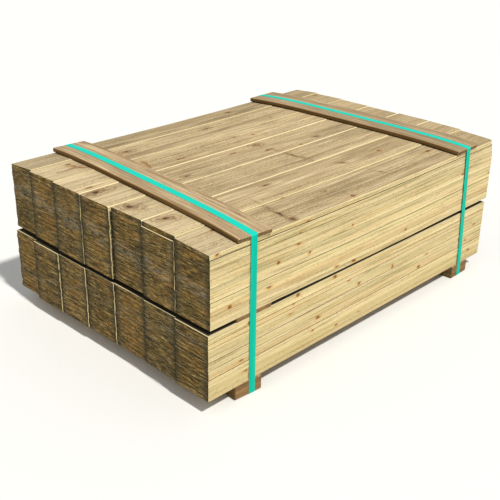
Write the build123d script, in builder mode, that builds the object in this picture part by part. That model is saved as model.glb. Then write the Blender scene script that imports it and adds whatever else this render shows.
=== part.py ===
import os
from math import hypot

from build123d import *

# Paling stock, millimetres
PALING_L = 1500.0
PALING_W = 149.5
PALING_T = 15.0
NARROW_W = 126.0

# How the palings are stacked
COLUMNS = 7
LOWER_ROWS = 15
UPPER_ROWS = 16
COLUMN_GAP = 2.0

# How far each column of ends stands out (minus) or back (plus) at the near end, from -Y to +Y
LOWER_STAGGER = (-14.0, -8.0, -4.0, -7.0, -10.0, -14.0, -3.0)
UPPER_STAGGER = (-5.0, -6.0, 1.0, -8.0, -9.0, -2.0, 5.0)

# The top paling of the second column sits further back than the ones under it
SET_BACK = 6.0
SET_BACK_COLUMN = 1

# How much single palings wander along and across the stack
WANDER_X = 1.0
WANDER_Y = 0.6

# Crosswise timber
BEARER_W = 110.0
BEARER_H = 50.0
SPACER_W = PALING_W
NEAR_BATTEN_W = 132.0
FAR_BATTEN_W = PALING_W
OVERHANG = 4.0

# Straps
STRAP_W = 25.0
STRAP_T = 1.0
STRAP_BEND_R = 3.0
FAR_STRAP_LEAN = 42.0

# Places along the stack on its middle line, measured from the near end
NEAR_BEARER_X = 195.0
FAR_BEARER_X = 1337.0
NEAR_SPACER_X = 180.0
FAR_SPACER_X = 1314.0
NEAR_BATTEN_X = 214.0
FAR_BATTEN_X = 1294.0
NEAR_STRAP_X = 209.0
FAR_STRAP_X = 1291.0

# How far the +Y end of a crosswise set lies further along the stack than a square one
NEAR_SKEW = 76.0
FAR_SKEW = -34.0

# Sizes that follow from the ones above
PACK_W = NARROW_W + (COLUMNS - 1) * (PALING_W + COLUMN_GAP)
CROSS_L = PACK_W + 2 * OVERHANG
BEARER_Z = STRAP_T
LOWER_Z = BEARER_Z + BEARER_H
SPACER_Z = LOWER_Z + LOWER_ROWS * PALING_T
UPPER_Z = SPACER_Z + PALING_T
BATTEN_Z = UPPER_Z + UPPER_ROWS * PALING_T
TOP_Z = BATTEN_Z + PALING_T
NEAR_END = -PALING_L / 2

os.makedirs("parts", exist_ok=True)


def wander(row, column, step):
    # Even spread from -1 to 1, fixed for each paling
    return ((row * 37 + column * 53 + row * column * step) % 21 - 10) / 10


def paling_centre(row, column, stagger):
    # Middle of one paling in plan; the last column at +Y is the narrow one
    width = NARROW_W if column == COLUMNS - 1 else PALING_W
    low_edge = -PACK_W / 2 + column * (PALING_W + COLUMN_GAP)
    x = stagger[column] + WANDER_X * wander(row, column, 7)
    if row == UPPER_ROWS - 1 and column == SET_BACK_COLUMN:
        x = x + SET_BACK
    y = low_edge + width / 2 + WANDER_Y * wander(row, column, 11)
    return x, y, width


# The whole stack is shifted so its two ends lie at equal distances from the origin
lower_x = [paling_centre(r, c, LOWER_STAGGER)[0] for r in range(LOWER_ROWS) for c in range(COLUMNS)]
upper_x = [paling_centre(r, c, UPPER_STAGGER)[0] for r in range(UPPER_ROWS) for c in range(COLUMNS)]
END_SHIFT = -(min(lower_x + upper_x) + max(lower_x + upper_x)) / 2


def along_and_across(skew):
    # Unit directions of a crosswise board: its width direction and its length direction
    size = hypot(skew, CROSS_L)
    across = Vector(skew / size, CROSS_L / size, 0)
    along = Vector(CROSS_L / size, -skew / size, 0)
    return along, across


def paling_row(name, row, bottom, stagger):
    with BuildPart() as layer:
        with BuildSketch(Plane.XY.offset(bottom)):
            for column in range(COLUMNS):
                x, y, width = paling_centre(row, column, stagger)
                with Locations((x + END_SHIFT, y)):
                    Rectangle(PALING_L, width)
        extrude(amount=PALING_T)
    layer.part.label = name
    export_step(layer.part, f"parts/{name}.step")


def strapped_timber(name, strap, centre, skew, width, bottom, height, side):
    # A board laid across the stack; the end edges that the strap turns round are rounded
    along, across = along_and_across(skew)
    middle = Vector(NEAR_END + strap, 0, bottom + height / 2) + along * (centre - strap)
    section = Plane(origin=middle, x_dir=across, z_dir=along)
    with BuildPart() as board:
        with BuildSketch(section) as profile:
            Rectangle(CROSS_L, height)
            corners = profile.vertices().sort_by(Axis.Y)
            fillet(corners[-2:] if side == "top" else corners[:2], radius=STRAP_BEND_R)
        extrude(amount=width / 2, both=True)
    board.part.label = name
    export_step(board.part, f"parts/{name}.step")


def tier_spacer(name, centre):
    with BuildPart() as board:
        with BuildSketch(Plane.XY.offset(SPACER_Z)):
            with Locations((NEAR_END + centre, 0)):
                Rectangle(SPACER_W, PACK_W)
        extrude(amount=PALING_T)
    board.part.label = name
    export_step(board.part, f"parts/{name}.step")


def strap_loop(name, centre, skew, lean):
    # One taut band round bearer, both tiers and batten; its foot stands off its top by the lean
    along, across = along_and_across(skew)
    foot = Vector(NEAR_END + centre, 0, 0) + along * lean
    normal = along * TOP_Z + Vector(0, 0, lean)
    stretch = hypot(lean, TOP_Z) / TOP_Z
    with BuildPart() as loop:
        with BuildSketch(Plane(origin=foot, x_dir=across, z_dir=normal)):
            with Locations((0, (TOP_Z + STRAP_T) / 2 * stretch)):
                outer_h = (TOP_Z + STRAP_T) * stretch
                inner_h = (TOP_Z - STRAP_T) * stretch
                RectangleRounded(CROSS_L + 2 * STRAP_T, outer_h, STRAP_BEND_R + STRAP_T)
                RectangleRounded(CROSS_L, inner_h, STRAP_BEND_R, mode=Mode.SUBTRACT)
        extrude(amount=STRAP_W / 2, dir=along, both=True)
    loop.part.label = name
    export_step(loop.part, f"parts/{name}.step")


# Palings, one file for each layer
for row in range(LOWER_ROWS):
    paling_row(f"lower_tier_row_{row + 1:02d}", row, LOWER_Z + row * PALING_T, LOWER_STAGGER)
for row in range(UPPER_ROWS):
    paling_row(f"upper_tier_row_{row + 1:02d}", row, UPPER_Z + row * PALING_T, UPPER_STAGGER)

# Bearers under the stack
strapped_timber("near_bearer", NEAR_STRAP_X, NEAR_BEARER_X, NEAR_SKEW, BEARER_W, BEARER_Z, BEARER_H, "bottom")
strapped_timber("far_bearer", FAR_STRAP_X, FAR_BEARER_X, FAR_SKEW, BEARER_W, BEARER_Z, BEARER_H, "bottom")

# Spacers between the tiers
tier_spacer("near_tier_spacer", NEAR_SPACER_X)
tier_spacer("far_tier_spacer", FAR_SPACER_X)

# Battens on top
strapped_timber(
    "near_top_batten", NEAR_STRAP_X, NEAR_BATTEN_X, NEAR_SKEW, NEAR_BATTEN_W, BATTEN_Z, PALING_T, "top"
)
strapped_timber(
    "far_top_batten", FAR_STRAP_X, FAR_BATTEN_X, FAR_SKEW, FAR_BATTEN_W, BATTEN_Z, PALING_T, "top"
)

# Straps round the whole bundle
strap_loop("near_strap", NEAR_STRAP_X, NEAR_SKEW, 0.0)
strap_loop("far_strap", FAR_STRAP_X, FAR_SKEW, FAR_STRAP_LEAN)
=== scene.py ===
import math
import random
from collections import namedtuple
from types import SimpleNamespace

import bmesh
import bpy
from mathutils import Matrix, Vector


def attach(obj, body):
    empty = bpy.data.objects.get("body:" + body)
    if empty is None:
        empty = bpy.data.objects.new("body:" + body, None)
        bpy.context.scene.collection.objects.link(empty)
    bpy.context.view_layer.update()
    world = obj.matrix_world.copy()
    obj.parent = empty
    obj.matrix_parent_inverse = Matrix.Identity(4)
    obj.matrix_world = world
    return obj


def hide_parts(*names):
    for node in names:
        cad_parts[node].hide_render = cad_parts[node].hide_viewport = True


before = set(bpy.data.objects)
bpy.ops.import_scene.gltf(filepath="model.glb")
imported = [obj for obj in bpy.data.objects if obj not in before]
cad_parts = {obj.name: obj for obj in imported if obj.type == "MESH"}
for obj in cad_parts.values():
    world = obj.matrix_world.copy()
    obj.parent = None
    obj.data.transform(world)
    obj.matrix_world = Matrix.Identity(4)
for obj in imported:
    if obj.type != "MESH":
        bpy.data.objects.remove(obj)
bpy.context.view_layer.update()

# Sizes of the bundle, metres, the same as in the part's source
PALING_L = 1.5
PALING_W = 0.1495
PALING_T = 0.015
NARROW_W = 0.126
COLUMNS = 7
LOWER_ROWS = 15
UPPER_ROWS = 16
COLUMN_GAP = 0.002
LOWER_STAGGER = (-0.014, -0.008, -0.004, -0.007, -0.010, -0.014, -0.003)
UPPER_STAGGER = (-0.005, -0.006, 0.001, -0.008, -0.009, -0.002, 0.005)
SET_BACK = 0.006
SET_BACK_COLUMN = 1
WANDER_X = 0.001
WANDER_Y = 0.0006
BEARER_W = 0.110
BEARER_H = 0.050
NEAR_BATTEN_W = 0.132
OVERHANG = 0.004
STRAP_W = 0.025
STRAP_T = 0.001
STRAP_BEND_R = 0.003
FAR_STRAP_LEAN = 0.042
NEAR_BEARER_X = 0.195
FAR_BEARER_X = 1.337
NEAR_SPACER_X = 0.180
FAR_SPACER_X = 1.314
NEAR_BATTEN_X = 0.214
FAR_BATTEN_X = 1.294
NEAR_STRAP_X = 0.209
FAR_STRAP_X = 1.291
NEAR_SKEW = 0.076
FAR_SKEW = -0.034

# Sizes that follow from the ones above
PACK_W = NARROW_W + (COLUMNS - 1) * (PALING_W + COLUMN_GAP)
CROSS_L = PACK_W + 2 * OVERHANG
LOWER_Z = STRAP_T + BEARER_H
SPACER_Z = LOWER_Z + LOWER_ROWS * PALING_T
UPPER_Z = SPACER_Z + PALING_T
BATTEN_Z = UPPER_Z + UPPER_ROWS * PALING_T
TOP_Z = BATTEN_Z + PALING_T
NEAR_END = -PALING_L / 2

# The straps pull the outer columns down, so the upper tier and all on it is crowned
CROWN = 0.0115
EDGE_DROP = 0.0020

# The upper tier sags between the spacers, as far as this from the middle
SAG = 0.005
SAG_REACH = 0.56

# Saw and wear on the palings: the most, or the least and the most
DRIED_THIN = 0.0001
DRIED_NARROW = 0.0016
OUT_OF_SQUARE = 0.004
PALING_ARRIS = (0.0002, 0.0004)
RUBBED_ARRIS = (0.0013, 0.0030)
OUTER_RUB = 0.4
CUPPED = (0.0006, 0.0020)
END_STAIN = 0.12

# Rows whose outer paling has dried thinner, so a dark line shows over it
DRY_ROWS = {
    ("upper", 14): 0.0022,
    ("upper", 10): 0.0009,
    ("upper", 5): 0.0013,
    ("upper", 2): 0.0008,
    ("lower", 11): 0.0014,
    ("lower", 8): 0.0008,
    ("lower", 4): 0.0012,
}

# Radius of the worn far corner, counted down from the top layer
WORN_CORNER = {1: 0.020, 2: 0.014, 3: 0.009, 4: 0.005}

# How brown the ends of each column have gone, from -Y to +Y
COLUMN_TINT = {
    "lower": (0.48, 0.20, 0.75, 0.45, 0.60, 0.35, 0.85),
    "upper": (0.45, 0.60, 0.50, 0.55, 0.45, 0.75, 0.35),
}

# Worn arrises and one worn corner of the crosswise timber, and the eased edges of the straps
BATTEN_ARRIS = 0.0022
SPACER_ARRIS = 0.0010
BEARER_ARRIS = 0.0026
FAR_BATTEN_CORNER = 0.020
STRAP_EDGE = 0.0003

# How far the far spacer stops short of the -Y side
SPACER_SLOT = 0.030

# How brown the crosswise timber has gone
NEAR_BATTEN_TINT = 0.80
FAR_BATTEN_TINT = 0.75
SPACER_TINT = 0.30
BEARER_TINT = 0.50

# Cuts across a piece, so that it can follow the sag or the crown
PALING_CUTS = 5
CROSS_CUTS = 13
STRAP_CUTS = 23

# Steps round a worn corner and a bend of a strap, and what counts as sharp or as one point
CORNER_STEPS = 3
BEND_STEPS = 7
SHARP_ARRIS = math.radians(50)
SHARP_BEND = math.radians(30)
ONE_POINT = 0.00005

# How far a face has to turn towards a way to look that way, or partly that way
FACES = 0.8
FACES_PARTLY = 0.3

# Kinds of face on a board in the stack, besides the open ones
RUBBED = -1.0
BETWEEN = 1.0
LAIN = 2.0
LEDGE = 3.0

# Ways that a face can look, seen from the near end
LEFT = Vector((0, 1, 0))
RIGHT = Vector((0, -1, 0))
OVER = Vector((0, 0, 1))
UNDER = Vector((0, 0, -1))


class Tone:
    """A value, colour or vector on its way through a finish."""

    def __init__(self, tree, socket=None):
        self.tree = tree
        self.socket = socket

    def node(self, kind, settings, inputs, output=0):
        made = self.tree.nodes.new(kind)
        for name, value in settings.items():
            if name == "stops":
                ramp = made.color_ramp
                while len(ramp.elements) < len(value):
                    ramp.elements.new(1.0)
                for element, (place, grey) in zip(ramp.elements, value):
                    element.position = place
                    element.color = (grey, grey, grey, 1.0)
            else:
                setattr(made, name, value)
        for key, value in inputs.items():
            if isinstance(value, Tone):
                self.tree.links.new(value.socket, made.inputs[key])
            elif isinstance(value, tuple) and made.inputs[key].type == "RGBA":
                made.inputs[key].default_value = (*value, 1.0)
            else:
                made.inputs[key].default_value = value
        if isinstance(output, tuple):
            return [Tone(self.tree, made.outputs[o]) for o in output]
        return Tone(self.tree, made.outputs[output])

    def maths(self, operation, first, second=0.0):
        return self.node("ShaderNodeMath", {"operation": operation}, {0: first, 1: second})

    def __add__(self, other):
        return self.maths("ADD", self, other)

    __radd__ = __add__

    def __sub__(self, other):
        return self.maths("SUBTRACT", self, other)

    def __rsub__(self, other):
        return self.maths("SUBTRACT", other, self)

    def __mul__(self, other):
        return self.maths("MULTIPLY", self, other)

    __rmul__ = __mul__

    def __truediv__(self, other):
        return self.maths("DIVIDE", self, other)

    def __pow__(self, other):
        return self.maths("POWER", self, other)

    def __abs__(self):
        return self.maths("ABSOLUTE", self)

    def vector_mark(self, name):
        return self.node("ShaderNodeAttribute", {"attribute_name": name}, {}, 1)

    def mark(self, name):
        return self.node("ShaderNodeAttribute", {"attribute_name": name}, {}, 2)

    def joined(self, x, y, z):
        return self.node("ShaderNodeCombineXYZ", {}, {0: x, 1: y, 2: z})

    def parts(self):
        return self.node("ShaderNodeSeparateXYZ", {}, {0: self}, (0, 1, 2))

    def moved(self, shift):
        return self.node("ShaderNodeVectorMath", {"operation": "ADD"}, {0: self, 1: shift})

    def scaled(self, x, y, z):
        return self.node("ShaderNodeVectorMath", {"operation": "MULTIPLY"}, {0: self, 1: (x, y, z)})

    def noise(self, detail=2.0, roughness=0.5):
        settings = {"Vector": self, "Scale": 1.0, "Detail": detail, "Roughness": roughness}
        return self.node("ShaderNodeTexNoise", {}, settings)

    def rise(self, low, high):
        # 0 below low and 1 above high, eased between
        settings = {"Value": self, "From Min": low, "From Max": high}
        return self.node("ShaderNodeMapRange", {"interpolation_type": "SMOOTHSTEP"}, settings)

    def fall(self, low, high):
        return 1.0 - self.rise(low, high)

    def blend(self, under, over, kind="MIX"):
        # This value is how much of the second colour goes over the first
        settings = {"data_type": "RGBA", "blend_type": kind}
        return self.node("ShaderNodeMix", settings, {0: self, 6: under, 7: over}, 2)


def new_finish(name):
    """A new material, the start of its maths and its shader."""
    material = bpy.data.materials.new(name)
    material.use_nodes = True
    tree = material.node_tree
    return material, Tone(tree), tree.nodes["Principled BSDF"]


def feed(start, shader, colour, roughness, height, depth, gloss):
    """Joins a finish to its shader, with the height as bumps of the given depth."""
    start.tree.links.new(colour.socket, shader.inputs["Base Color"])
    start.tree.links.new(roughness.socket, shader.inputs["Roughness"])
    bump = start.node("ShaderNodeBump", {}, {"Strength": 0.8, "Distance": depth, "Height": height})
    start.tree.links.new(bump.socket, shader.inputs["Normal"])
    shader.inputs["Specular IOR Level"].default_value = gloss


# What sets one timber apart: its colours, how worn, clean and knotty it is, and how much painted shadow lies
# along the foot of its edges
Wood = namedtuple(
    "Wood",
    "face_light face_mid face_grey face_streak edge_light edge_line end_light end_dark "
    "end_wear edge_clean knot_share seat_dust",
)

PALING = Wood(
    face_light=(0.745, 0.592, 0.350),
    face_mid=(0.490, 0.370, 0.203),
    face_grey=(0.360, 0.280, 0.170),
    face_streak=(0.260, 0.170, 0.080),
    edge_light=(0.760, 0.620, 0.310),
    edge_line=(0.290, 0.238, 0.100),
    end_light=(0.235, 0.136, 0.023),
    end_dark=(0.078, 0.051, 0.009),
    end_wear=1.0,
    edge_clean=1.0,
    knot_share=0.052,
    seat_dust=0.0,
)
BATTEN = Wood(
    face_light=(0.630, 0.478, 0.285),
    face_mid=(0.530, 0.388, 0.222),
    face_grey=(0.430, 0.330, 0.200),
    face_streak=(0.235, 0.145, 0.070),
    edge_light=(0.205, 0.112, 0.030),
    edge_line=(0.085, 0.048, 0.014),
    end_light=(0.180, 0.118, 0.054),
    end_dark=(0.075, 0.049, 0.022),
    end_wear=0.35,
    edge_clean=0.08,
    knot_share=0.010,
    seat_dust=1.0,
)
BEARER = Wood(
    face_light=(0.420, 0.245, 0.110),
    face_mid=(0.320, 0.175, 0.075),
    face_grey=(0.270, 0.170, 0.090),
    face_streak=(0.165, 0.085, 0.036),
    edge_light=(0.140, 0.080, 0.026),
    edge_line=(0.070, 0.042, 0.015),
    end_light=(0.320, 0.178, 0.074),
    end_dark=(0.195, 0.106, 0.046),
    end_wear=0.22,
    edge_clean=0.08,
    knot_share=0.010,
    seat_dust=0.0,
)

# Colours that all the timbers share, first on the wide faces
PALE_PATCH = (0.74, 0.60, 0.36)
DARK_STREAK = (0.345, 0.240, 0.125)
PALE_STREAK = (0.850, 0.710, 0.450)
PALE_NEAR_END = (0.82, 0.69, 0.45)
DULL_FAR_END = (0.42, 0.32, 0.18)
KNOT_FLAME = (0.40, 0.225, 0.085)
KNOT_HALO = (0.46, 0.275, 0.125)
KNOT_HEART = (0.230, 0.115, 0.052)
KNOT_CRESCENT = (0.060, 0.034, 0.020)
BRANCH_HALO = (0.42, 0.245, 0.105)
BRANCH_HEART = (0.285, 0.150, 0.064)
BRANCH_RIM = (0.085, 0.045, 0.022)
TOP_KNOT_HALO = (0.415, 0.275, 0.135)
TOP_KNOT_SWIRL = (0.128, 0.084, 0.050)
TOP_KNOT_BODY = (0.265, 0.142, 0.068)
TOP_KNOT_HEART = (0.060, 0.030, 0.016)

# On the narrow edges
EDGE_PALE_LINE = (0.88, 0.76, 0.45)
EDGE_AMBER = (0.62, 0.385, 0.150)
EDGE_WARM = (0.700, 0.460, 0.190)
EDGE_OLIVE = (0.520, 0.460, 0.200)
# Partly dirt, partly painted shade, along the top and bottom of an edge where boards meet
EDGE_DIRT_AND_SHADE = (0.20, 0.155, 0.065)
# Painted shadow along the foot of a batten's edges, where it sits on the palings
EDGE_SEAT_SHADOW = (0.014, 0.010, 0.005)
EDGE_KNOT_HALO = (0.640, 0.370, 0.125)
EDGE_KNOT_BODY = (0.285, 0.130, 0.045)
EDGE_KNOT_HEART = (0.085, 0.038, 0.018)

# On the cut ends
END_BROWN = (0.36, 0.178, 0.032)
END_OLIVE = (0.122, 0.108, 0.052)
SAW_PALE = (0.46, 0.300, 0.100)
SAW_DARK = (0.032, 0.024, 0.008)
SCORE_PALE = (0.52, 0.355, 0.135)
SCORE_DARK = (0.036, 0.027, 0.009)
FLECK_PALE = (0.66, 0.465, 0.150)
FLECK_DARK = (0.026, 0.019, 0.007)
JOINT_DARK = (0.024, 0.019, 0.008)
# Painted glints along a few joints, as on lit ledges
JOINT_GLINT = (0.640, 0.560, 0.420)
WATER_GREY = (0.300, 0.285, 0.230)
# Darker at the sides of each column, partly dirt, partly painted shade
RIM_DIRT_AND_SHADE = (0.040, 0.034, 0.013)
SEAM_DARK = (0.016, 0.013, 0.006)

# Where boards lie against each other
# Clean wood on rubbed arrises, and painted light on the rims of ledges
CLEAN_WOOD_AND_LEDGE_LIGHT = (0.930, 0.800, 0.480)
# Painted shade on faces that lie against other boards
GAP_SHADE = (0.018, 0.013, 0.008)

# On the straps
STRAP_DEEP = (0.0, 0.400, 0.272)
STRAP_GREEN = (0.0, 0.535, 0.375)
STRAP_BRIGHT = (0.0, 0.620, 0.455)
STRAP_RIM = (0.0, 0.36, 0.28)
# Painted sheen on the run over the top, lighter as the sky's reflection makes it
STRAP_TOP_SHEEN = (0.012, 0.670, 0.540)

# Fine pattern rolled into the straps: its waves, in radians to the metre
ROLLED_PITCH = 1900.0

# How the tone goes through one growth ring, pale early wood to dark late wood
GROWTH_RING = [(0.0, 0.0), (0.45, 0.12), (0.82, 0.95), (0.94, 0.8), (1.0, 0.0)]

# Heights of the water marks on the cut ends
UPPER_MARK_Z = 0.420
LOWER_MARK_Z = 0.190

# Knots on the top layer: place along and across, half length, half width, turn in degrees
TOP_KNOTS = [
    (0.038, -0.114, 0.060, 0.007, 94),
    (0.107, -0.286, 0.016, 0.009, -30),
    (0.019, 0.061, 0.022, 0.012, -20),
    (0.265, -0.024, 0.014, 0.011, 0),
    (-0.391, -0.442, 0.070, 0.006, 88),
    (-0.391, -0.497, 0.016, 0.011, 40),
    (-0.258, -0.255, 0.018, 0.006, 0),
    (-0.146, -0.416, 0.010, 0.005, -20),
    (0.140, -0.426, 0.016, 0.005, -60),
    (0.030, 0.347, 0.024, 0.009, 0),
    (0.270, 0.460, 0.012, 0.006, 0),
    (0.028, 0.190, 0.010, 0.006, 0),
    (-0.378, 0.326, 0.026, 0.013, 0),
    (-0.395, -0.015, 0.016, 0.010, 0),
    (-0.705, 0.065, 0.045, 0.017, 0),
    (-0.700, -0.105, 0.030, 0.019, -60),
    (-0.680, -0.250, 0.028, 0.014, -20),
    (-0.640, 0.306, 0.034, 0.005, 0),
]
KNOT_CURL = 0.034


class Board:
    """What a finish reads from a board: its place, its own grain and chances, and the marks on its mesh."""

    def __init__(self, start):
        self.place = start.node("ShaderNodeTexCoord", {}, {}, "Object")
        self.north, self.high = self.place.parts()[1:]
        self.chances = start.vector_mark("board")
        self.one, self.two, self.three = self.chances.parts()
        grain = start.vector_mark("grain")
        self.along, self.across, self.up = grain.parts()
        self.own = grain.moved(self.chances.scaled(37.0, 11.0, 7.0))
        self.ragged = self.own.scaled(55.0, 110.0, 110.0).noise(3.0, 0.6) - 0.5
        self.cut = start.mark("cut")
        self.edge = start.mark("edge")
        self.inner = start.mark("inner")
        self.proud = start.mark("proud")
        self.tint = start.mark("tint")


def knots_of(start, place, grid, share):
    """Scattered knots: how far off the nearest one lies along and across, if it is there, and its chances."""
    spread = place.scaled(grid[0], grid[1], 1.0)
    settings = {"Vector": spread, "Scale": 1.0, "Randomness": 0.85}
    flat = {"voronoi_dimensions": "2D"}
    cell, spot = start.node("ShaderNodeTexVoronoi", flat, settings, ("Color", "Position"))
    away = start.node("ShaderNodeVectorMath", {"operation": "SUBTRACT"}, {0: spread, 1: spot})
    along, across = away.scaled(1 / grid[0], 1 / grid[1], 1.0).parts()[:2]
    there, chance, other = cell.parts()
    return along, across, there.rise(1.0 - share, 1.0005 - share), chance, other


def round_knots(start, board, share):
    """Round knots on the wide faces, ragged, with a dark crescent and a brown flame along the grain."""
    off, aside, there, chance, other = knots_of(start, board.own, (7.5, 14.0), share * 2.2)
    length = 0.008 + chance * 0.013
    width = 0.0045 + other * 0.0045
    reach = ((off / length) ** 2.0 + (aside / width) ** 2.0) ** 0.5 + board.ragged * 1.3
    one_side = (aside + (chance - 0.5) * 0.006).rise(-0.002, 0.002)
    streak = abs(aside + board.ragged * 0.006).fall(0.001, 0.008)
    return SimpleNamespace(
        heart=reach.fall(0.55, 1.0) * there,
        crescent=reach.rise(0.40, 0.70) * reach.fall(0.85, 1.20) * one_side * there,
        halo=reach.fall(0.8, 2.6) * there,
        flame=streak * abs(off).fall(0.015, 0.130) * there,
        bow=aside * reach.fall(0.0, 2.8) * there * -0.85,
    )


def branch_knots(start, board, share):
    """Branch knots drawn out across a board."""
    wobble = board.own.scaled(6.0, 26.0, 26.0).noise(3.0, 0.6) - 0.5
    off, beside, there, chance, other = knots_of(start, board.own, (3.1, 5.5), share * 3.0)
    slant = off + beside * (chance - 0.5) * 1.6 + wobble * 0.050
    taper = abs(beside).fall(0.015, 0.032 + other * 0.036) * there
    return SimpleNamespace(
        heart=abs(slant).fall(0.0025, 0.0075) * taper,
        rim=slant.rise(0.0015, 0.0045) * slant.fall(0.0055, 0.0095) * taper,
        halo=abs(slant).fall(0.005, 0.030) * taper,
    )


def edge_knots(start, board, share):
    """Round knots on the narrow edges, cut through by the saw."""
    own = board.own.parts()
    flank = start.joined(own[0], own[2], 0.0)
    off, rising, there, chance, other = knots_of(start, flank, (5.5, 30.0), share * 3.6)
    off = off + rising * (chance - 0.5)
    length = 0.0052 + chance * 0.0068
    width = 0.0045 + other * 0.0050
    reach = ((off / length) ** 2.0 + (rising / width) ** 2.0) ** 0.5 + board.ragged * 0.9
    return SimpleNamespace(
        heart=reach.fall(0.20, 0.70) * there,
        body=reach.fall(0.75, 1.10) * there,
        halo=reach.fall(0.90, 2.40) * there,
    )


def growth(start, board, bow):
    """Growth rings about a heart below the board, fibre and streaks, all bowed round the knots."""
    own = board.own
    flow = own.moved(start.joined(0.0, bow, 0.0))
    sway = own.scaled(0.8, 3.0, 3.0).noise(2.0) - 0.5
    ripple = own.scaled(2.6, 15.0, 15.0).noise(3.0) - 0.5
    side = board.across + bow - (board.two - 0.5) * 0.15 + sway * 0.05
    below = board.up + 0.028 + board.one * 0.085
    radius = (side * side + below * below) ** 0.5 + ripple * 0.012
    ring = start.maths("FRACT", radius / (0.0042 + board.three * 0.0030))
    return SimpleNamespace(
        late=start.node("ShaderNodeValToRGB", {"stops": GROWTH_RING}, {0: ring}).parts()[0],
        fibre=flow.scaled(7.0, 230.0, 230.0).noise(3.0, 0.6),
        band=flow.scaled(1.3, 32.0, 60.0).noise(5.0, 0.65),
        streak=flow.scaled(2.4, 95.0, 95.0).noise(3.0, 0.65),
        cloud=flow.scaled(3.2, 12.0, 5.0).noise(3.0, 0.6),
        speck=own.scaled(90.0, 210.0, 210.0).noise(2.0, 0.7),
        # Bands that the saw left rough
        stipple=own.scaled(130.0, 240.0, 240.0).noise(2.0, 0.7),
        rough_band=flow.scaled(0.7, 24.0, 24.0).noise(2.0).rise(0.50, 0.60),
    )


def wide_face(wood, board, grain, knots, branches):
    """Wide faces, greyed by weather in patches, paler near one end and duller at the other."""
    face = grain.band.rise(0.36, 0.66).blend(wood.face_light, wood.face_mid)
    face = (grain.cloud.rise(0.47, 0.66) * 0.50).blend(face, wood.face_grey)
    face = (grain.cloud.fall(0.30, 0.44) * 0.55).blend(face, PALE_PATCH)
    face = (grain.late * 0.52).blend(face, wood.face_streak)
    face = (grain.band.rise(0.57, 0.72) * 0.75).blend(face, wood.face_streak)
    face = (grain.streak.rise(0.54, 0.66) * 0.55).blend(face, DARK_STREAK)
    face = (grain.streak.fall(0.35, 0.46) * 0.50).blend(face, PALE_STREAK)
    face = (grain.fibre.rise(0.35, 0.70) * 0.42).blend(face, wood.face_streak, "MULTIPLY")
    face = (board.along.fall(-0.66, -0.50) * wood.end_wear * 0.24).blend(face, PALE_NEAR_END)
    face = (board.along.rise(0.58, 0.68) * wood.end_wear * 0.40).blend(face, DULL_FAR_END)
    face = (grain.stipple.rise(0.54, 0.66) * grain.rough_band * 0.75).blend(face, wood.face_streak)
    face = (grain.stipple.fall(0.34, 0.46) * grain.rough_band * 0.60).blend(face, wood.edge_light)
    face = (knots.flame * 0.50).blend(face, KNOT_FLAME)
    face = (knots.halo * 0.45).blend(face, KNOT_HALO)
    face = (branches.halo * 0.55).blend(face, BRANCH_HALO)
    face = (branches.heart * 0.70).blend(face, BRANCH_HEART)
    face = (branches.rim * 0.80).blend(face, BRANCH_RIM)
    face = (knots.heart * 0.80).blend(face, KNOT_HEART)
    return (knots.crescent * 0.88).blend(face, KNOT_CRESCENT)


def placed_knots(start, board, face, placed):
    """Knots that stand out on the top layer, curled, over the rest of the face."""
    settings = {"Vector": board.place, "Scale": 24.0, "Detail": 2.0}
    curl = start.node("ShaderNodeTexNoise", {}, settings, "Color")
    settings = {0: curl, 1: (KNOT_CURL,) * 3, 2: board.place}
    bent = start.node("ShaderNodeVectorMath", {"operation": "MULTIPLY_ADD"}, settings)
    bent = bent.moved((-KNOT_CURL / 2,) * 3)
    away = None
    for x, y, half_length, half_width, turn in placed:
        settings = {"Vector": bent, "Location": (x, y, 0.0), "Rotation": (0.0, 0.0, math.radians(turn)),
                    "Scale": (half_length, half_width, 100.0)}
        spot = start.node("ShaderNodeMapping", {"vector_type": "TEXTURE"}, settings)
        gap = start.node("ShaderNodeVectorMath", {"operation": "LENGTH"}, {0: spot}, "Value")
        away = start.maths("MINIMUM", away, gap) if away else gap
    away = away + board.ragged * 0.8
    on_top = board.high.rise(BATTEN_Z - 0.010, BATTEN_Z - 0.006)
    swirl = start.maths("SINE", away * 9.0 + board.ragged * 4.0).rise(0.0, 0.7) * away.fall(1.2, 2.2)
    face = (away.fall(0.9, 2.8) * on_top * 0.50).blend(face, TOP_KNOT_HALO)
    face = (swirl * on_top * 0.60).blend(face, TOP_KNOT_SWIRL)
    face = (away.fall(0.70, 0.95) * on_top * 0.60).blend(face, TOP_KNOT_BODY)
    return (away.fall(0.28, 0.52) * on_top * 0.90).blend(face, TOP_KNOT_HEART)


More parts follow.
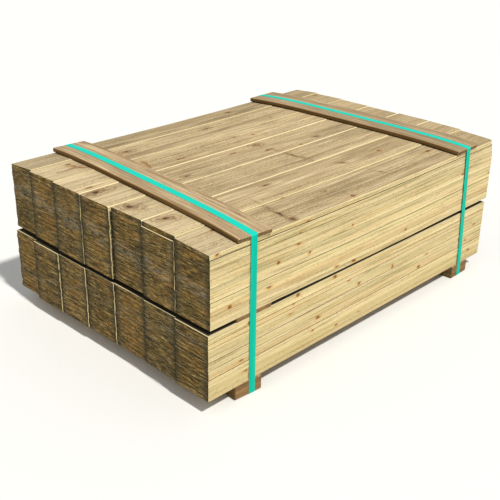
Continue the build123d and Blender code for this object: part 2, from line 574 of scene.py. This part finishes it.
def narrow_edge(start, wood, board, grain, knots):
    """Narrow edges, cleaner, with fine olive lines that run off slowly."""
    clean = wood.edge_clean
    leant = board.own.moved(start.joined(0.0, 0.0, board.along * (board.two - 0.5) * 0.030))
    line = leant.scaled(2.6, 30.0, 130.0).noise(4.0, 0.70)
    amber = leant.scaled(2.2, 9.0, 60.0).noise(2.0).rise(0.56, 0.70)
    # Darker along the top and bottom of the edge, where boards meet: partly dirt, partly painted shade
    worn = abs(board.up).rise(0.0058, 0.0073) * board.own.scaled(3.0, 1.0, 1.0).noise(3.0).rise(0.44, 0.62)
    edge = (grain.band.rise(0.35, 0.75) * clean).blend(wood.edge_light, wood.face_light)
    edge = (line.rise(0.50, 0.64) * 0.74).blend(edge, wood.edge_line)
    edge = (line.fall(0.32, 0.46) * clean * 0.55).blend(edge, EDGE_PALE_LINE)
    edge = (amber * clean * 0.55).blend(edge, EDGE_AMBER)
    edge = (board.one.rise(0.60, 0.95) * clean * 0.30).blend(edge, EDGE_WARM)
    edge = (board.two.rise(0.60, 0.95) * clean * 0.35).blend(edge, EDGE_OLIVE)
    edge = (worn * board.three.rise(0.45, 0.75) * 0.55).blend(edge, EDGE_DIRT_AND_SHADE)
    # Painted shadow along the foot of a batten's edges, where it sits on the palings
    edge = (board.up.fall(-0.0064, -0.0028) * wood.seat_dust * 0.90).blend(edge, EDGE_SEAT_SHADOW)
    edge = (knots.halo * 0.75).blend(edge, EDGE_KNOT_HALO)
    edge = (knots.body * 0.85).blend(edge, EDGE_KNOT_BODY)
    return (knots.heart * 0.60).blend(edge, EDGE_KNOT_HEART)


def saw_marks(board):
    """Lines that the saw left on the cut ends, level with the boards, from broad to fine."""
    return SimpleNamespace(
        line=board.place.scaled(30.0, 9.0, 120.0).noise(6.0, 0.80),
        score=board.place.scaled(60.0, 24.0, 330.0).noise(3.0, 0.75),
        fleck=board.place.scaled(80.0, 38.0, 260.0).noise(3.0, 0.8),
    )


def water_marks(board):
    """A grey water mark runs across the ends of the upper tier, a fainter one across the lower."""
    drift = (board.place.scaled(1.0, 6.0, 6.0).noise(3.0) - 0.5) * 0.16
    upper = abs(board.high - board.north * 0.07 - UPPER_MARK_Z + drift).fall(0.002, 0.034)
    lower = abs(board.high + board.north * 0.10 - LOWER_MARK_Z + drift).fall(0.002, 0.024)
    return (upper + lower * 0.5) * board.place.scaled(4.0, 30.0, 110.0).noise(4.0, 0.75).rise(0.46, 0.60)


def cut_end(wood, board, saw):
    """Cut ends: brown in the middle, olive towards the sides, dark between boards, darker still at the sides
    of each column with dirt and painted shade, and a few pale lines as painted glints along the joints.
    """
    wear = wood.end_wear
    spread = board.place.moved(board.chances.scaled(2.0, 0.04, 0.015))
    blotch = spread.scaled(3.0, 12.0, 22.0).noise(4.0, 0.65) + (board.tint - 0.5) * 0.26
    flanks = abs(board.across + (blotch - 0.5) * 0.10).rise(0.028, 0.062)
    joint = abs(board.up + (saw.line - 0.5) * 0.0015).rise(0.0048, 0.0069)
    joint = joint * board.own.scaled(5.0, 12.0, 1.0).noise(3.0).rise(0.24, 0.44)
    # A few pale lines along the joints, painted glints
    pale = abs(board.up).rise(0.0064, 0.0073) * board.own.scaled(3.0, 9.0, 1.0).noise(2.0).rise(0.60, 0.66)
    # Darker towards the sides of each column: partly dirt, partly painted shade
    rim = abs(board.across + (blotch - 0.5) * 0.02).rise(0.046, 0.075)
    seam = abs(board.across).rise(0.0705, 0.0735)
    end = blotch.rise(0.32, 0.62).blend(wood.end_dark, wood.end_light)
    end = (blotch.rise(0.49, 0.64) * wear * 0.70).blend(end, END_BROWN)
    end = (flanks * wear * 0.50).blend(end, END_OLIVE)
    end = (saw.line.rise(0.52, 0.62) * wear * 0.60).blend(end, SAW_PALE)
    end = (saw.line.fall(0.39, 0.48) * wear * 0.85).blend(end, SAW_DARK)
    end = (saw.score.rise(0.54, 0.64) * wear * 0.70).blend(end, SCORE_PALE)
    end = (saw.score.fall(0.36, 0.46) * wear * 0.82).blend(end, SCORE_DARK)
    end = (saw.fleck.rise(0.57, 0.66) * wear * 0.85).blend(end, FLECK_PALE)
    end = (saw.fleck.fall(0.35, 0.46) * wear * 0.85).blend(end, FLECK_DARK)
    end = (joint * wear * 0.85).blend(end, JOINT_DARK)
    end = (pale * wear * 0.65).blend(end, JOINT_GLINT)
    end = (water_marks(board) * wear * 0.60).blend(end, WATER_GREY)
    end = (rim * wear * 0.75).blend(end, RIM_DIRT_AND_SHADE)
    return (seam * wear * 0.85).blend(end, SEAM_DARK)


def inner_faces(start, board, colour):
    """Inner faces, painted dark as shade, but left clear where the end of a side shows, and the rim of a
    ledge painted pale as light.
    """
    from_end = PALING_L / 2 - abs(board.along)
    behind = from_end + board.proud * start.maths("SIGN", board.along)
    lain = board.inner.rise(1.1, 1.9)
    ledge = board.inner.rise(2.1, 2.9)
    beside = start.maths("MAXIMUM", behind.rise(-0.0005, 0.0030), from_end.rise(0.0022, 0.0050))
    under = start.maths("MINIMUM", from_end, PACK_W / 2 - abs(board.north)).rise(0.0018, 0.0050)
    dark = beside * (1.0 - lain) + lain * (1.0 - ledge) + ledge * under
    # The rim of a ledge is painted pale, as light
    colour = (ledge * 0.75).blend(colour, CLEAN_WOOD_AND_LEDGE_LIGHT)
    # The rest of an inner face is painted dark, as shade
    return (board.inner.rise(0.1, 0.9) * dark * 0.94).blend(colour, GAP_SHADE)


def sawn_timber(name, wood, placed=()):
    """Rough-sawn softwood: growth rings, fibre, knots, weathered ends and old water marks."""
    material, start, shader = new_finish(name)
    board = Board(start)
    knots = round_knots(start, board, wood.knot_share)
    grain = growth(start, board, knots.bow)
    saw = saw_marks(board)
    face = wide_face(wood, board, grain, knots, branch_knots(start, board, wood.knot_share))
    if placed:
        face = placed_knots(start, board, face, placed)
    edge = narrow_edge(start, wood, board, grain, edge_knots(start, board, wood.knot_share))
    # Rough grain on both, and a shade of its own for each board
    sides = board.edge.blend(face, edge)
    sides = (grain.speck.rise(0.56, 0.70) * 0.45).blend(sides, wood.face_streak)
    sides = (grain.speck.fall(0.28, 0.44) * 0.40).blend(sides, wood.edge_light)
    shade = 0.82 + board.three * 0.24 + (board.tint - 0.5) * 0.18
    sides = start.node("ShaderNodeVectorMath", {"operation": "SCALE"}, {0: sides, "Scale": shade})
    colour = board.cut.blend(sides, cut_end(wood, board, saw))
    # The top arris of a board on the top layer is rubbed clean
    rubbed = board.inner.fall(-0.9, -0.1) * (0.30 + board.one * 0.55)
    colour = rubbed.blend(colour, CLEAN_WOOD_AND_LEDGE_LIGHT)
    # Painted shade where boards lie against each other, painted light on the rims of ledges
    colour = inner_faces(start, board, colour)
    rough = 0.74 + grain.fibre * 0.18
    height = grain.fibre * 0.5 + grain.late * 0.30 + grain.speck * 0.40
    height = height + grain.stipple * grain.rough_band * 0.3
    height = height + (saw.line + saw.score + saw.fleck) * board.cut * 0.7
    feed(start, shader, colour, rough, height, 0.0010, 0.18)
    return material


def strap_band(name):
    """Satin plastic band: drawn lines, a fine rolled pattern, and a painted sheen where it runs over the top.
    """
    material, start, shader = new_finish(name)
    grain = start.vector_mark("grain")
    along, across = grain.parts()[:2]
    lines = grain.scaled(1.5, 420.0, 1.0).noise(3.0, 0.6)
    broad = grain.scaled(2.2, 60.0, 1.0).noise(2.0)
    rolled = start.maths("SINE", along * ROLLED_PITCH) * start.maths("SINE", across * ROLLED_PITCH)
    edge = abs(across).rise(STRAP_W / 2 - 0.002, STRAP_W / 2)
    high = start.node("ShaderNodeTexCoord", {}, {}, "Object").parts()[2]
    # Painted sheen on the run over the top
    top_sheen = high.rise(TOP_Z - 0.008, TOP_Z - 0.004)
    colour = lines.rise(0.30, 0.72).blend(STRAP_DEEP, STRAP_GREEN)
    colour = (broad.rise(0.45, 0.75) * 0.35).blend(colour, STRAP_BRIGHT)
    colour = (edge * 0.4).blend(colour, STRAP_RIM)
    colour = (top_sheen * 0.75).blend(colour, STRAP_TOP_SHEEN)
    rough = 0.36 + lines * 0.22
    feed(start, shader, colour, rough, lines * 0.6 + rolled * 0.25, 0.0003, 0.06)
    return material


paling_wood = sawn_timber("paling_wood", PALING, TOP_KNOTS)
batten_wood = sawn_timber("batten_wood", BATTEN)
bearer_wood = sawn_timber("bearer_wood", BEARER)
strap_plastic = strap_band("strap_plastic")


def crowned(spot):
    """How far the crown of the upper tier lifts a point."""
    share = min(1.0, max(0.0, (spot.z - UPPER_Z) / (BATTEN_Z - UPPER_Z)))
    reach = min(1.0, abs(spot.y) / (PACK_W / 2))
    return share * (CROWN * (1.0 - reach ** 4) - EDGE_DROP)


def softened(bm, edges, width, steps=1):
    """Takes the sharpness off some edges of a board."""
    bmesh.ops.bevel(bm, geom=edges, offset=width, offset_type="OFFSET", segments=steps, profile=0.5,
                    affect="EDGES", material=-1)


def sawn_board(size, arris, taper, rounded=(), worn_edge=0.0, cupped=0.0, cuts=0):
    """One sawn board about the origin, with its length on X and its arrises worn."""
    bm = bmesh.new()
    bmesh.ops.create_cube(bm, size=1.0)
    bmesh.ops.scale(bm, vec=size, verts=bm.verts)
    # Ends are seldom quite square, and a drying board drops at one side
    for v in bm.verts:
        v.co.x += (taper[0] if v.co.x < 0 else taper[1]) * v.co.y
        if v.co.z > 0 and v.co.y > 0:
            v.co.z -= cupped
    for end, flank, radius in rounded:
        corner = [e for e in bm.edges if all(v.co.x * end > 0 and v.co.y * flank > 0 for v in e.verts)]
        softened(bm, corner, radius, CORNER_STEPS)
    if worn_edge:
        upper = [e for e in bm.edges if all(v.co.y < 0 and v.co.z > 0 for v in e.verts)
                 and e.calc_length() > size[0] / 2]
        softened(bm, upper, worn_edge)
    bm.normal_update()
    softened(bm, [e for e in bm.edges if e.calc_face_angle(0.0) > SHARP_ARRIS], arris)
    if cuts:
        lengthwise = [e for e in bm.edges if e.calc_length() > size[0] / 2]
        bmesh.ops.subdivide_edges(bm, edges=lengthwise, cuts=cuts, use_grid_fill=True)
    bm.normal_update()
    return bm


def marked(bm, chance, tint, stands=(0.0, 0.0), inside=(), rubbed=False):
    """Gives each point its place in the board and each face its kind, for the finish to read."""
    grain = bm.verts.layers.float_vector.new("grain")
    board = bm.verts.layers.float_vector.new("board")
    proud = bm.verts.layers.float.new("proud")
    stain = bm.verts.layers.float.new("tint")
    cut = bm.faces.layers.float.new("cut")
    edge = bm.faces.layers.float.new("edge")
    inner = bm.faces.layers.float.new("inner")
    own = Vector((chance.random(), chance.random(), chance.random()))
    for v in bm.verts:
        v[grain] = v.co
        v[board] = own
        v[proud] = stands[0] if v.co.y > 0 else stands[1]
        v[stain] = tint
    for f in bm.faces:
        f[cut] = 1.0 if abs(f.normal.x) > FACES else 0.0
        f[edge] = 1.0 if abs(f.normal.y) > FACES_PARTLY else 0.0
        f[inner] = max((kind for way, kind in inside if f.normal.dot(way) > FACES), default=0.0)
        if rubbed and f.normal.z > FACES_PARTLY and f.normal.y < -FACES_PARTLY:
            f[inner] = RUBBED


def lay(bm, stack, move, sag=0.0):
    """Moves a board to its place, with the sag and crown of its tier, and adds it to a stack of boards."""
    for v in bm.verts:
        v.co.z -= sag * max(0.0, 1.0 - (v.co.x / SAG_REACH) ** 2)
    bmesh.ops.transform(bm, matrix=move, verts=bm.verts)
    for v in bm.verts:
        v.co.z += crowned(v.co)
    mesh = bpy.data.meshes.new("board")
    bm.to_mesh(mesh)
    bm.free()
    stack.from_mesh(mesh)
    bpy.data.meshes.remove(mesh)


def finished(bm, name, material, node):
    """Makes a piece of the mesh, in place of its node."""
    mesh = bpy.data.meshes.new(name)
    bm.to_mesh(mesh)
    bm.free()
    mesh.materials.append(material)
    piece = bpy.data.objects.new(name, mesh)
    bpy.context.scene.collection.objects.link(piece)
    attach(piece, "root")
    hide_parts(node)


def out_of_square(chance):
    """How far each end of a board is cut out of square."""
    return [chance.uniform(-OUT_OF_SQUARE, OUT_OF_SQUARE) for end in range(2)]


def wander(row, column, step):
    """Even spread from -1 to 1, fixed for each paling."""
    return ((row * 37 + column * 53 + row * column * step) % 21 - 10) / 10


def paling_centre(row, column, stagger):
    """Middle of one paling in plan, and its width. The last column at +Y is the narrow one."""
    width = NARROW_W if column == COLUMNS - 1 else PALING_W
    low_edge = -PACK_W / 2 + column * (PALING_W + COLUMN_GAP)
    x = stagger[column] + WANDER_X * wander(row, column, 7)
    if row == UPPER_ROWS - 1 and column == SET_BACK_COLUMN:
        x = x + SET_BACK
    y = low_edge + width / 2 + WANDER_Y * wander(row, column, 11)
    return x, y, width


# The whole stack is shifted so its two ends lie at equal distances from the origin
lower_x = [paling_centre(r, c, LOWER_STAGGER)[0] for r in range(LOWER_ROWS) for c in range(COLUMNS)]
upper_x = [paling_centre(r, c, UPPER_STAGGER)[0] for r in range(UPPER_ROWS) for c in range(COLUMNS)]
END_SHIFT = -(min(lower_x + upper_x) + max(lower_x + upper_x)) / 2


def touching(tier, row, column, last):
    """The ways in which a paling faces another board, with the kind of face."""
    top = tier == "upper" and last
    under_set_back = tier == "upper" and row == UPPER_ROWS - 2 and column == SET_BACK_COLUMN
    inside = []
    if column < COLUMNS - 1:
        inside.append((LEFT, BETWEEN))
    if column > 0 and not top:
        inside.append((RIGHT, BETWEEN))
    if not top:
        inside.append((OVER, LEDGE if last or under_set_back else LAIN))
    if tier == "upper" or row > 0:
        inside.append((UNDER, LAIN))
    return inside


def paling_layer(tier, row, bottom, stagger, last):
    """One layer of palings side by side, each sawn, dried and worn a little differently."""
    chance = random.Random(f"{tier} {row}")
    stack = bmesh.new()
    upper = tier == "upper"
    top = upper and last
    for column in range(COLUMNS):
        x, y, width = paling_centre(row, column, stagger)
        thin = chance.uniform(0.0, DRIED_THIN)
        if column == 0:
            thin = DRY_ROWS.get((tier, row), thin)
        slim = chance.uniform(0.0, DRIED_NARROW)
        aside = slim * 0.5 * chance.choice((-1, 1))
        arris = chance.uniform(*PALING_ARRIS)
        taper = out_of_square(chance)
        rub = OUTER_RUB if column == 0 else 1.0
        worn_edge = chance.uniform(*RUBBED_ARRIS) * rub if top else 0.0
        cupped = chance.uniform(*CUPPED) if top else 0.0
        tint = COLUMN_TINT[tier][column] + chance.uniform(-END_STAIN, END_STAIN)
        # How far the near end stands out past its neighbours to the left and right
        stands = [paling_centre(row, column + step, stagger)[0] - x if 0 <= column + step < COLUMNS else 0.0
                  for step in (1, -1)]
        # The far outer corner is worn round at the top
        corner = WORN_CORNER.get(UPPER_ROWS - row) if upper and column == 0 else None
        rounded = [(1, -1, corner)] if corner else []
        thick = PALING_T - thin
        bm = sawn_board((PALING_L, width - slim, thick), arris, taper, rounded, worn_edge, cupped,
                        PALING_CUTS if upper else 0)
        marked(bm, chance, tint, stands, touching(tier, row, column, last), top)
        move = Matrix.Translation((x + END_SHIFT, y + aside, bottom + thick / 2))
        lay(bm, stack, move, SAG if upper else 0.0)
    number = f"{row + 1:02d}"
    finished(stack, f"palings_{tier}_{number}", paling_wood, f"{tier}_tier_row_{number}")


for row in range(LOWER_ROWS):
    paling_layer("lower", row, LOWER_Z + row * PALING_T, LOWER_STAGGER, row == LOWER_ROWS - 1)
for row in range(UPPER_ROWS):
    paling_layer("upper", row, UPPER_Z + row * PALING_T, UPPER_STAGGER, row == UPPER_ROWS - 1)


def crosswise(strap, centre, skew, middle):
    """Turns a board's length across the stack, skewed as it lies in the bundle."""
    turn = Matrix.Rotation(math.radians(90) - math.atan2(skew, CROSS_L), 4, "Z")
    along = Vector((CROSS_L, -skew, 0)).normalized()
    return Matrix.Translation(Vector((NEAR_END + strap, 0, middle)) + along * (centre - strap)) @ turn


def cross_board(name, node, material, move, size, arris, tint, rounded=()):
    """One board or timber that lies across the stack."""
    chance = random.Random(name)
    stack = bmesh.new()
    bm = sawn_board(size, arris, out_of_square(chance), rounded, cuts=CROSS_CUTS)
    marked(bm, chance, tint)
    lay(bm, stack, move)
    finished(stack, name, material, node)


# Battens on top
BATTEN_MIDDLE = BATTEN_Z + PALING_T / 2
cross_board("near_batten", "near_top_batten", batten_wood,
            crosswise(NEAR_STRAP_X, NEAR_BATTEN_X, NEAR_SKEW, BATTEN_MIDDLE),
            (CROSS_L, NEAR_BATTEN_W, PALING_T), BATTEN_ARRIS, NEAR_BATTEN_TINT)
cross_board("far_batten", "far_top_batten", batten_wood,
            crosswise(FAR_STRAP_X, FAR_BATTEN_X, FAR_SKEW, BATTEN_MIDDLE),
            (CROSS_L, PALING_W, PALING_T), BATTEN_ARRIS, FAR_BATTEN_TINT,
            [(-1, -1, FAR_BATTEN_CORNER)])

# Spacers between the tiers; the far one leaves a dark slot at -Y
SPACER_MIDDLE = SPACER_Z + PALING_T / 2
slot_shift = Matrix.Translation((0, SPACER_SLOT / 2, 0))
cross_board("near_spacer", "near_tier_spacer", bearer_wood,
            crosswise(NEAR_SPACER_X, NEAR_SPACER_X, 0.0, SPACER_MIDDLE),
            (PACK_W, PALING_W, PALING_T), SPACER_ARRIS, SPACER_TINT)
cross_board("far_spacer", "far_tier_spacer", bearer_wood,
            slot_shift @ crosswise(FAR_SPACER_X, FAR_SPACER_X, 0.0, SPACER_MIDDLE),
            (PACK_W - SPACER_SLOT, PALING_W, PALING_T), SPACER_ARRIS, SPACER_TINT)

# Bearers under the stack
BEARER_MIDDLE = STRAP_T + BEARER_H / 2
cross_board("near_bearer_timber", "near_bearer", bearer_wood,
            crosswise(NEAR_STRAP_X, NEAR_BEARER_X, NEAR_SKEW, BEARER_MIDDLE),
            (CROSS_L, BEARER_W, BEARER_H), BEARER_ARRIS, BEARER_TINT)
cross_board("far_bearer_timber", "far_bearer", bearer_wood,
            crosswise(FAR_STRAP_X, FAR_BEARER_X, FAR_SKEW, BEARER_MIDDLE),
            (CROSS_L, BEARER_W, BEARER_H), BEARER_ARRIS, BEARER_TINT)


def strap_section(bm):
    """The band's section, an oblong with its corners taken off, as a ring of edges."""
    half = STRAP_W / 2
    flat = half - STRAP_EDGE
    outline = [(-half, STRAP_EDGE), (-flat, 0.0), (flat, 0.0), (half, STRAP_EDGE),
               (half, STRAP_T - STRAP_EDGE), (flat, STRAP_T), (-flat, STRAP_T), (-half, STRAP_T - STRAP_EDGE)]
    ring = [bm.verts.new((w, 0.0, z)) for w, z in outline]
    return [bm.edges.new((ring[i - 1], ring[i])) for i in range(len(ring))]


def run_round(bm, loop):
    """Draws the section once round the bundle, with straight runs and spun corners."""
    bend = STRAP_BEND_R + STRAP_T
    run_y = CROSS_L / 2 + STRAP_T - bend
    run_z = TOP_Z + STRAP_T - 2 * bend
    # Each run in turn, with the corner that follows it
    legs = [((0, run_y, 0), (0, run_y, bend)), ((0, 0, run_z), (0, run_y, bend + run_z)),
            ((0, -2 * run_y, 0), (0, -run_y, bend + run_z)), ((0, 0, -run_z), (0, -run_y, bend)),
            ((0, run_y, 0), None)]
    for step, corner in legs:
        out = bmesh.ops.extrude_edge_only(bm, edges=loop)["geom"]
        bmesh.ops.translate(bm, vec=step, verts=[g for g in out if isinstance(g, bmesh.types.BMVert)])
        loop = [g for g in out if isinstance(g, bmesh.types.BMEdge) and all(v in out for v in g.verts)]
        if corner:
            spun = bmesh.ops.spin(bm, geom=loop, cent=corner, axis=(1, 0, 0), angle=math.radians(90),
                                  steps=BEND_STEPS)
            loop = [g for g in spun["geom_last"] if isinstance(g, bmesh.types.BMEdge)]
    bmesh.ops.remove_doubles(bm, verts=bm.verts, dist=ONE_POINT)
    bmesh.ops.recalc_face_normals(bm, faces=bm.faces)


def strap_loop(name, node, centre, skew, lean):
    """A flat band round the bundle, smooth round its bends."""
    bm = bmesh.new()
    grain = bm.verts.layers.float_vector.new("grain")
    run_round(bm, strap_section(bm))
    for v in bm.verts:
        v[grain] = (v.co.y + v.co.z, v.co.x, 0.0)
    for f in bm.faces:
        f.smooth = True
    for e in bm.edges:
        e.smooth = e.calc_face_angle(0.0) < SHARP_BEND
    # Turned as the battens lie, and leant so that its foot stands off its top
    along = Vector((CROSS_L, -skew, 0)).normalized()
    across = Vector((skew, CROSS_L, 0)).normalized()
    tilt = along * (-lean / TOP_Z) + Vector((0, 0, 1))
    foot = Vector((NEAR_END + centre, 0, 0)) + along * lean
    move = Matrix((along, across, tilt)).transposed().to_4x4()
    bmesh.ops.transform(bm, matrix=Matrix.Translation(foot) @ move, verts=bm.verts)
    # The run over the top follows the crown
    over = [e for e in bm.edges if e.calc_length() > CROSS_L / 2 and all(v.co.z > BATTEN_Z for v in e.verts)]
    bmesh.ops.subdivide_edges(bm, edges=over, cuts=STRAP_CUTS, use_grid_fill=True)
    for v in bm.verts:
        v.co.z += crowned(v.co)
    finished(bm, name, strap_plastic, node)


strap_loop("near_band", "near_strap", NEAR_STRAP_X, NEAR_SKEW, 0.0)
strap_loop("far_band", "far_strap", FAR_STRAP_X, FAR_SKEW, FAR_STRAP_LEAN)

# Pale studio floor, just clear of the straps
FLOOR_HALF = 30.0
FLOOR_Z = -0.0004
bm = bmesh.new()
floor_place = Matrix.Translation((0, 0, FLOOR_Z))
bmesh.ops.create_grid(bm, x_segments=1, y_segments=1, size=FLOOR_HALF, matrix=floor_place)
floor_mesh = bpy.data.meshes.new("studio_floor")
bm.to_mesh(floor_mesh)
bm.free()
floor = bpy.data.objects.new("studio_floor", floor_mesh)
bpy.context.scene.collection.objects.link(floor)
floor_finish = new_finish("studio_floor")[0]
shader = floor_finish.node_tree.nodes["Principled BSDF"]
shader.inputs["Base Color"].default_value = (0.84, 0.84, 0.83, 1.0)
shader.inputs["Roughness"].default_value = 0.9
floor_mesh.materials.append(floor_finish)

# Soft light all round, and a key from the right
KEY_WAY = Vector((0.035, 0.52, -0.84))
world = bpy.data.worlds.new("studio_air")
bpy.context.scene.world = world
world.use_nodes = True
world.node_tree.nodes["Background"].inputs["Color"].default_value = (0.93, 0.96, 1.0, 1.0)
world.node_tree.nodes["Background"].inputs["Strength"].default_value = 0.44
key = bpy.data.lights.new("key", "SUN")
key.energy = 3.1
key.angle = math.radians(4.0)
key.color = (1.0, 0.97, 0.90)
key_lamp = bpy.data.objects.new("key", key)
key_lamp.rotation_euler = KEY_WAY.to_track_quat("-Z", "Y").to_euler()
bpy.context.scene.collection.objects.link(key_lamp)

# Camera where the photograph was taken from
SENSOR_MM = 36.0
FRAME_PIXELS = 500.0
FOCAL_PIXELS = 854.47
CAMERA_AT = Vector((-2.1798, -2.0692, 1.5446))
CAMERA_AHEAD = Vector((0.64654, 0.63238, -0.42670))
CAMERA_UP = Vector((0.29475, 0.30882, 0.90430))
lens = bpy.data.cameras.new("camera")
lens.sensor_width = SENSOR_MM
lens.lens = SENSOR_MM * FOCAL_PIXELS / FRAME_PIXELS
camera = bpy.data.objects.new("camera", lens)
ahead = CAMERA_AHEAD.normalized()
right = ahead.cross(CAMERA_UP).normalized()
upward = right.cross(ahead)
turned = Matrix((right, upward, -ahead)).transposed()
camera.matrix_world = Matrix.Translation(CAMERA_AT) @ turned.to_4x4()
bpy.context.scene.collection.objects.link(camera)
bpy.context.scene.camera = camera
bpy.context.scene.view_settings.view_transform = "Standard"
